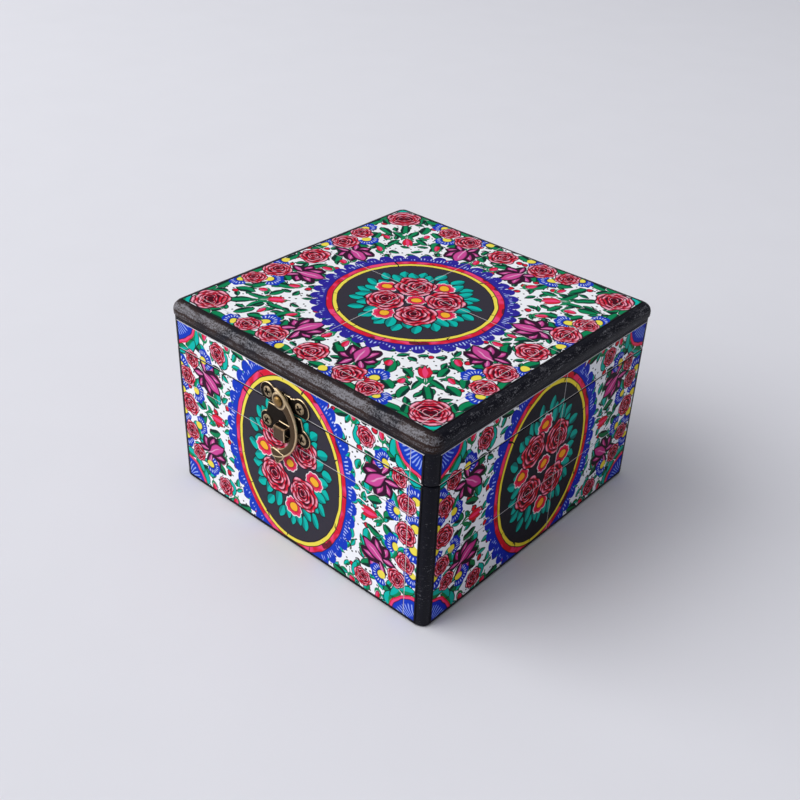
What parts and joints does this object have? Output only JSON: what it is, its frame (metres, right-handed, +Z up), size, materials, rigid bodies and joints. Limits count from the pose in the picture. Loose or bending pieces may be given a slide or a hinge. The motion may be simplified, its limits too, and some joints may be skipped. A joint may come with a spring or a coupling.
{
  "type": "jack in the box",
  "caption": "Square paper-covered wooden box with a hinged lid and a hook latch; a spring-mounted cloth jester rises as the lid opens.",
  "frame": {"origin": "middle of the underside of the box", "axes": "+Z up; the latch faces -Y; the hinges are on +Y; +X is to the right as seen from the latch side"},
  "size_m": [0.151, 0.16, 0.0927],
  "materials": {
    "painted_wood": "satin black-brown paint, dry-brushed with silver grey on the lid's edge",
    "bare_wood": "sanded, unpainted",
    "printed_paper": "floral print on paper under satin varnish",
    "hinge_brass": "dull, lacquered",
    "antique_bronze": "dark antique bronze, rubbed brighter along the edges",
    "worn_brass": "antique bronze rubbed to pale brass",
    "spring_steel": "plain drawn wire",
    "sleeve_cloth": "plain woven cotton",
    "chest_cloth": "plain woven cotton, stuffed",
    "ruff_cloth": "pleated cotton",
    "cap_felt": "felt",
    "band_felt": "felt",
    "hair_wool": "curled wool yarn",
    "pompom_wool": "clipped wool yarn",
    "painted_head": "turned wood, satin paint",
    "painted_nose": "turned wood, gloss paint",
    "bell_brass": "polished, lightly tarnished"
  },
  "bodies": {
    "case": {"floor_board": "bare_wood", "wall_front": "painted_wood", "wall_back": "painted_wood", "wall_left": "painted_wood", "wall_right": "painted_wood", "paper_case_front": "printed_paper", "paper_case_back": "printed_paper", "paper_case_left": "printed_paper", "paper_case_right": "printed_paper", "hinge_case_left": "hinge_brass", "hinge_case_right": "hinge_brass", "hinge_pin_left": "hinge_brass", "hinge_pin_right": "hinge_brass", "hinge_case_screws": "hinge_brass", "catch_plate": "antique_bronze", "catch_screws": "worn_brass", "spring_staples_floor": "spring_steel", "coil_spring": "spring_steel", "spring_sleeve": "sleeve_cloth"},
    "lid": {"lid_board": "painted_wood", "rail_front": "painted_wood", "rail_back": "painted_wood", "rail_left": "painted_wood", "rail_right": "painted_wood", "paper_top": "printed_paper", "paper_lid_front": "printed_paper", "paper_lid_back": "printed_paper", "paper_lid_left": "printed_paper", "paper_lid_right": "printed_paper", "hinge_lid_left": "hinge_brass", "hinge_lid_right": "hinge_brass", "hinge_lid_screws": "hinge_brass", "latch_plate": "antique_bronze", "latch_screws": "worn_brass", "latch_rivet": "worn_brass"},
    "latch_hook": {"latch_hook": "antique_bronze"},
    "jack": {"spring_cap": "bare_wood", "spring_staples_cap": "spring_steel", "neck_dowel": "bare_wood", "chest": "chest_cloth", "chest_pompom": "pompom_wool", "ruff": "ruff_cloth", "arm_left": "sleeve_cloth", "arm_right": "sleeve_cloth", "hand_left": "painted_head", "hand_right": "painted_head", "head": "painted_head", "nose": "painted_nose", "hair_left": "hair_wool", "hair_right": "hair_wool", "jester_cap": "cap_felt", "cap_band": "band_felt", "bells": "bell_brass", "bell_pellets": "spring_steel"}
  },
  "joints": [
    {"name": "lid_hinge", "type": "hinge", "parent": "case", "child": "lid", "pos_m": [0, 0.07725, 0.0703], "axis": [-1, 0, 0], "range_deg": [0, 105]},
    {"name": "latch_swing", "type": "hinge", "parent": "lid", "child": "latch_hook", "pos_m": [-0.0032, -0.0772, 0.0747], "axis": [0, -1, 0], "range_deg": [0, 100]},
    {"name": "jack_rise", "type": "slide", "parent": "case", "child": "jack", "axis": [0, 0, 1], "range_m": [0, 0.11], "deforming": ["coil_spring", "spring_sleeve"]}
  ],
  "couplings": [
    {"joint": "jack_rise", "follows": "lid_hinge", "m_per_rad": 0.06}
  ]
}
